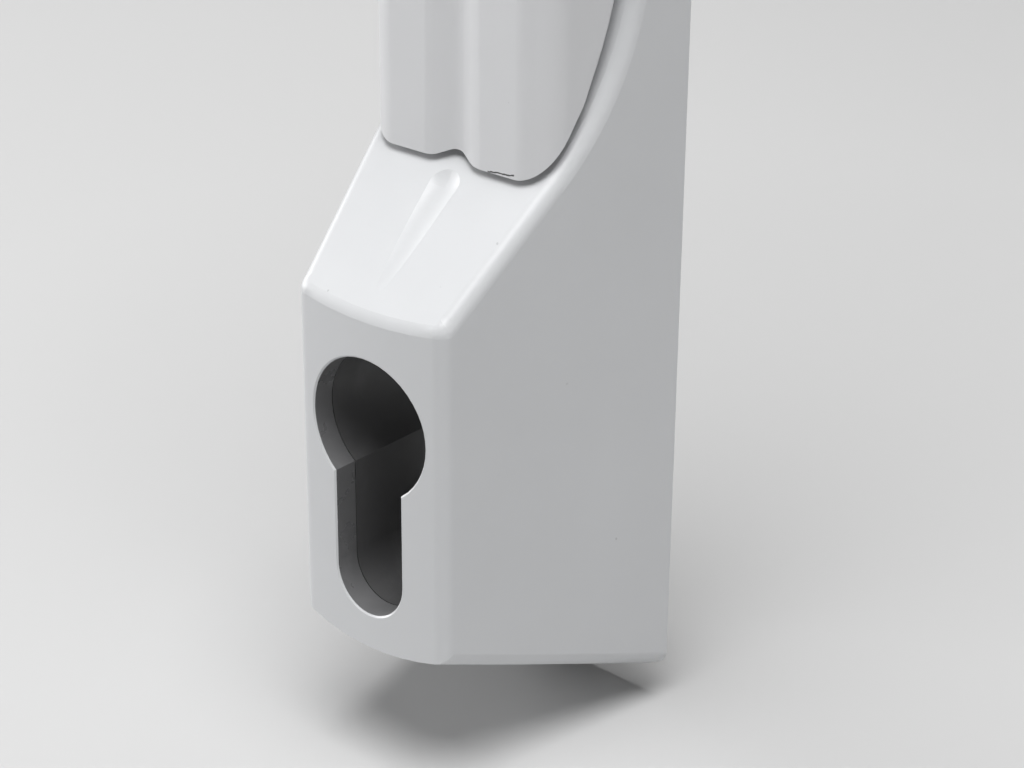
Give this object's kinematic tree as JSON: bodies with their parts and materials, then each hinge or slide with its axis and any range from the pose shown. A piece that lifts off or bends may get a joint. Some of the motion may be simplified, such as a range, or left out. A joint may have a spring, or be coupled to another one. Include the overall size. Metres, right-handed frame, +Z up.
{
  "type": "swing handle lock",
  "caption": "Cabinet door swing handle: cast housing with a boss for a profile cylinder, a lever that flips out and swings, and a latch cam behind the door.",
  "frame": {"origin": "halfway between the two fixing holes, on the door's front face", "axes": "+X across the door, to the side that the latch cam points to, +Y into the door, +Z up along the handle"},
  "size_m": [0.0655, 0.0578, 0.2403],
  "materials": {
    "housing": "light grey powder coat, satin",
    "gasket": "matt black",
    "cylinder_carrier": "light grey, matt",
    "carrier_screws": "zinc plated",
    "lock_slide": "zinc plated",
    "slide_cover": "zinc plated sheet",
    "cover_screws": "zinc plated",
    "handle_lever": "light grey powder coat, satin",
    "hinge_pin": "plain steel",
    "spindle": "zinc plated",
    "spindle_bush": "black",
    "thrust_washer": "black",
    "retaining_ring": "phosphated spring steel",
    "spindle_seal": "matt black",
    "stop_washer": "zinc plated",
    "stop_pin": "plain steel",
    "latch_cam": "zinc plated",
    "spring_washer": "zinc plated",
    "cam_screw": "zinc plated"
  },
  "bodies": {
    "housing_group": {"housing": "housing", "gasket": "gasket", "cylinder_carrier": "cylinder_carrier", "carrier_screws": "carrier_screws", "slide_cover": "slide_cover", "cover_screws": "cover_screws", "spindle_bush": "spindle_bush", "thrust_washer": "thrust_washer", "stop_pin": "stop_pin"},
    "spindle_group": {"spindle": "spindle", "retaining_ring": "retaining_ring", "spindle_seal": "spindle_seal", "stop_washer": "stop_washer", "latch_cam": "latch_cam", "spring_washer": "spring_washer", "cam_screw": "cam_screw"},
    "handle_group": {"handle_lever": "handle_lever", "hinge_pin": "hinge_pin"},
    "slide_group": {"lock_slide": "lock_slide"}
  },
  "joints": [
    {"name": "handle_swing", "type": "hinge", "parent": "housing_group", "child": "spindle_group", "pos_m": [0, 0, 0.088], "axis": [0, -1, 0], "range_deg": [0, 90]},
    {"name": "handle_flip", "type": "hinge", "parent": "spindle_group", "child": "handle_group", "pos_m": [0, -0.0126, 0.088], "axis": [-1, 0, 0], "range_deg": [0, 30]},
    {"name": "lock_slide_travel", "type": "slide", "parent": "housing_group", "child": "slide_group", "axis": [0, 0, 1], "range_m": [0, 0.007]}
  ]
}
